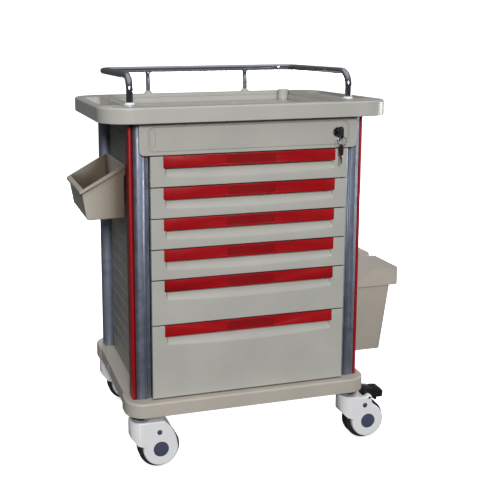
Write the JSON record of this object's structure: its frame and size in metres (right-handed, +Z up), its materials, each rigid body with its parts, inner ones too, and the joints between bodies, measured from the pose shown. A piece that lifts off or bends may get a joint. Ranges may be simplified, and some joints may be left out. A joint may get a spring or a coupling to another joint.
{
  "type": "drawer trolley",
  "caption": "Wheeled ward trolley: moulded base and tray top with guard rail, lockable stacked drawers, lidded waste bins, open side box and braked swivel casters.",
  "frame": {"origin": "centre of the whole trolley's footprint, on the floor under the wheels", "axes": "+Z up, -Y out of the drawer fronts, +X to the right seen from the front, towards the waste bins"},
  "size_m": [0.825, 0.4836, 0.93],
  "materials": {
    "abs_beige": "satin moulded ABS",
    "abs_warm": "satin moulded ABS",
    "abs_red": "translucent red plastic, satin",
    "abs_pale": "satin moulded nylon",
    "post_alloy": "anodised extrusion",
    "chrome": "polished",
    "zinc": "zinc plated",
    "hub_nylon": "satin moulded nylon",
    "tyre": "matt rubber",
    "black_plastic": "satin"
  },
  "bodies": {
    "cabinet": {"base": "abs_warm", "tabletop": "abs_beige", "lock_fascia": "abs_beige", "post_front_left": "post_alloy", "post_front_right": "post_alloy", "post_back_left": "post_alloy", "post_back_right": "post_alloy", "accent_strips": "abs_red", "side_panel_left": "abs_warm", "side_panel_right": "abs_warm", "back_panel": "abs_warm", "guard_rail": "chrome", "rail_collars": "abs_pale", "drawer_channels": "zinc", "bin_hanger": "zinc", "side_box_hanger": "zinc", "lock_bar_guides": "zinc", "caster_stems": "zinc", "frame_screws": "zinc"},
    "lock": {"lock_barrel": "chrome", "key": "black_plastic", "key_ring": "zinc"},
    "lock_bar": {"lock_bar": "zinc"},
    "bin_front": {"bin_front": "abs_warm"},
    "bin_front_lid": {"bin_front_lid": "abs_warm"},
    "bin_back": {"bin_back": "abs_warm"},
    "bin_back_lid": {"bin_back_lid": "abs_warm"},
    "side_box": {"side_box": "abs_warm"},
    "drawer_1": {"drawer_1_front": "abs_beige", "drawer_1_handle": "abs_red", "drawer_1_tray": "abs_beige"},
    "drawer_2": {"drawer_2_front": "abs_beige", "drawer_2_handle": "abs_red", "drawer_2_tray": "abs_beige"},
    "drawer_3": {"drawer_3_front": "abs_beige", "drawer_3_handle": "abs_red", "drawer_3_tray": "abs_beige"},
    "drawer_4": {"drawer_4_front": "abs_beige", "drawer_4_handle": "abs_red", "drawer_4_tray": "abs_beige"},
    "drawer_5": {"drawer_5_front": "abs_beige", "drawer_5_handle": "abs_red", "drawer_5_tray": "abs_beige"},
    "drawer_6": {"drawer_6_front": "abs_beige", "drawer_6_handle": "abs_red", "drawer_6_tray": "abs_beige"},
    "caster_front_left": {"caster_front_left_shell": "abs_pale"},
    "wheel_front_left": {"caster_front_left_hub": "hub_nylon", "caster_front_left_tyre": "tyre"},
    "caster_front_right": {"caster_front_right_shell": "abs_pale"},
    "wheel_front_right": {"caster_front_right_hub": "hub_nylon", "caster_front_right_tyre": "tyre"},
    "caster_back_left": {"caster_back_left_shell": "abs_pale"},
    "wheel_back_left": {"caster_back_left_hub": "hub_nylon", "caster_back_left_tyre": "tyre"},
    "caster_back_right": {"caster_back_right_shell": "abs_pale"},
    "wheel_back_right": {"caster_back_right_hub": "hub_nylon", "caster_back_right_tyre": "tyre"},
    "brake_front_right": {"brake_pedal_front_right": "black_plastic"},
    "brake_back_left": {"brake_pedal_back_left": "black_plastic"}
  },
  "joints": [
    {"name": "drawer_1_slide", "type": "slide", "parent": "cabinet", "child": "drawer_1", "axis": [0, -1, 0], "range_m": [0, 0.29]},
    {"name": "drawer_2_slide", "type": "slide", "parent": "cabinet", "child": "drawer_2", "axis": [0, -1, 0], "range_m": [0, 0.29]},
    {"name": "drawer_3_slide", "type": "slide", "parent": "cabinet", "child": "drawer_3", "axis": [0, -1, 0], "range_m": [0, 0.29]},
    {"name": "drawer_4_slide", "type": "slide", "parent": "cabinet", "child": "drawer_4", "axis": [0, -1, 0], "range_m": [0, 0.29]},
    {"name": "drawer_5_slide", "type": "slide", "parent": "cabinet", "child": "drawer_5", "axis": [0, -1, 0], "range_m": [0, 0.29]},
    {"name": "drawer_6_slide", "type": "slide", "parent": "cabinet", "child": "drawer_6", "axis": [0, -1, 0], "range_m": [0, 0.29]},
    {"name": "lock_turn", "type": "hinge", "parent": "cabinet", "child": "lock", "pos_m": [0.1925, -0.20975, 0.784], "axis": [0, 1, 0], "range_deg": [0, 90]},
    {"name": "lock_bar_drop", "type": "slide", "parent": "cabinet", "child": "lock_bar", "axis": [0, 0, -1], "range_m": [0, 0.009]},
    {"name": "bin_front_lift", "type": "slide", "parent": "cabinet", "child": "bin_front", "axis": [0, 0, 1], "range_m": [0, 0.04]},
    {"name": "bin_front_lid_hinge", "type": "hinge", "parent": "bin_front", "child": "bin_front_lid", "pos_m": [0.2725, -0.07125, 0.405], "axis": [0, -1, 0], "range_deg": [0, 95]},
    {"name": "bin_back_lift", "type": "slide", "parent": "cabinet", "child": "bin_back", "axis": [0, 0, 1], "range_m": [0, 0.04]},
    {"name": "bin_back_lid_hinge", "type": "hinge", "parent": "bin_back", "child": "bin_back_lid", "pos_m": [0.2725, 0.07975, 0.405], "axis": [0, -1, 0], "range_deg": [0, 95]},
    {"name": "side_box_lift", "type": "slide", "parent": "cabinet", "child": "side_box", "axis": [0, 0, 1], "range_m": [0, 0.03]},
    {"name": "caster_front_left_swivel", "type": "hinge", "parent": "cabinet", "child": "caster_front_left", "pos_m": [-0.2885, -0.19075, 0.093], "axis": [0, 0, 1], "continuous": true},
    {"name": "wheel_front_left_spin", "type": "hinge", "parent": "caster_front_left", "child": "wheel_front_left", "pos_m": [-0.2465, -0.19075, 0.05], "axis": [0, 1, 0], "continuous": true},
    {"name": "caster_front_right_swivel", "type": "hinge", "parent": "cabinet", "child": "caster_front_right", "pos_m": [0.2475, -0.19075, 0.093], "axis": [0, 0, 1], "continuous": true},
    {"name": "wheel_front_right_spin", "type": "hinge", "parent": "caster_front_right", "child": "wheel_front_right", "pos_m": [0.2895, -0.19075, 0.05], "axis": [0, 1, 0], "continuous": true},
    {"name": "brake_front_right_tread", "type": "hinge", "parent": "caster_front_right", "child": "brake_front_right", "pos_m": [0.2935, -0.19075, 0.112], "axis": [0, 1, 0], "range_deg": [0, 9]},
    {"name": "caster_back_left_swivel", "type": "hinge", "parent": "cabinet", "child": "caster_back_left", "pos_m": [-0.2885, 0.19925, 0.093], "axis": [0, 0, 1], "continuous": true},
    {"name": "wheel_back_left_spin", "type": "hinge", "parent": "caster_back_left", "child": "wheel_back_left", "pos_m": [-0.2465, 0.19925, 0.05], "axis": [0, 1, 0], "continuous": true},
    {"name": "brake_back_left_tread", "type": "hinge", "parent": "caster_back_left", "child": "brake_back_left", "pos_m": [-0.2425, 0.19925, 0.112], "axis": [0, 1, 0], "range_deg": [0, 9]},
    {"name": "caster_back_right_swivel", "type": "hinge", "parent": "cabinet", "child": "caster_back_right", "pos_m": [0.2475, 0.19925, 0.093], "axis": [0, 0, 1], "continuous": true},
    {"name": "wheel_back_right_spin", "type": "hinge", "parent": "caster_back_right", "child": "wheel_back_right", "pos_m": [0.2895, 0.19925, 0.05], "axis": [0, 1, 0], "continuous": true}
  ],
  "couplings": [
    {"joint": "lock_turn", "follows": "lock_bar_drop", "rad_per_m": 174.53}
  ]
}
